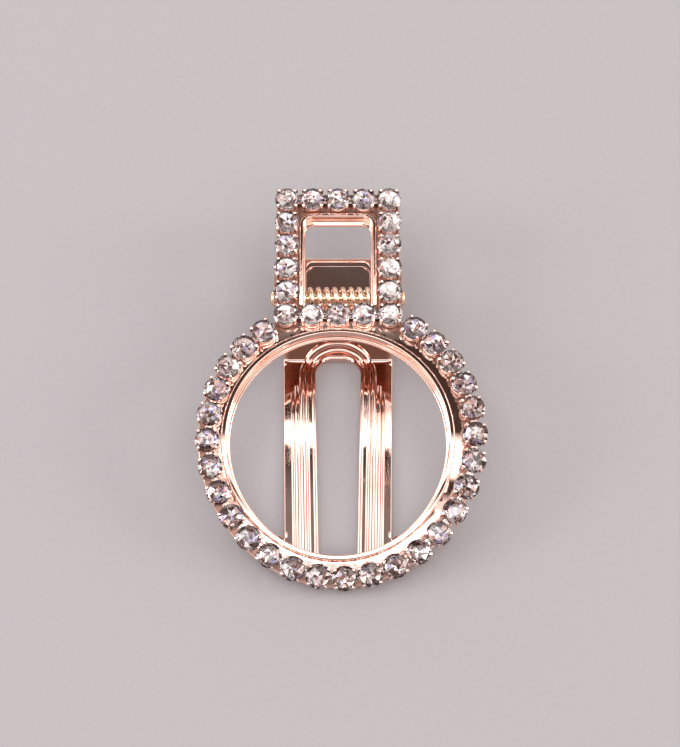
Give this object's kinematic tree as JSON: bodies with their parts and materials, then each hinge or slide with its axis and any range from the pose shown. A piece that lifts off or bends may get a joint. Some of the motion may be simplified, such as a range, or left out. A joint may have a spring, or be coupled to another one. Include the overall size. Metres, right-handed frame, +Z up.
{
  "type": "duckbill hair clip with a stone-set ring and a square lever",
  "caption": "Spring hair clip: round stone-set ring as upper jaw, square open lever, U-shaped lower jaw plate, hinge pin and torsion spring.",
  "frame": {"origin": "on the table under the middle of the clip", "axes": "+Z up, the ring's tip points to -Y and the lever to +Y, +X to the right of somebody who looks along +Y"},
  "size_m": [0.0381, 0.0549, 0.0116],
  "materials": {
    "rose_gold": "polished rose-gold plating",
    "cup_metal": "bright rose-gold plated cup chain",
    "crystal": "clear cut glass with a foiled back",
    "jaw_metal": "polished rose-gold plating",
    "pin_metal": "polished gold-toned pin",
    "spring_wire": "bright gold-toned spring wire"
  },
  "bodies": {
    "lower": {"lower_jaw": "jaw_metal", "pin": "pin_metal", "spring_coil": "spring_wire"},
    "upper": {"top_frame": "rose_gold", "ring_setting": "cup_metal", "ring_stones": "crystal", "lever_setting": "cup_metal", "lever_stones": "crystal", "spring_leg": "spring_wire"}
  },
  "joints": [
    {"name": "jaw_hinge", "type": "hinge", "parent": "lower", "child": "upper", "pos_m": [0, 0.0132, 0.00625], "axis": [-1, 0, 0], "range_deg": [0, 25], "stiffness_Nm_per_rad": 0.02, "springref_deg": -28.65}
  ]
}
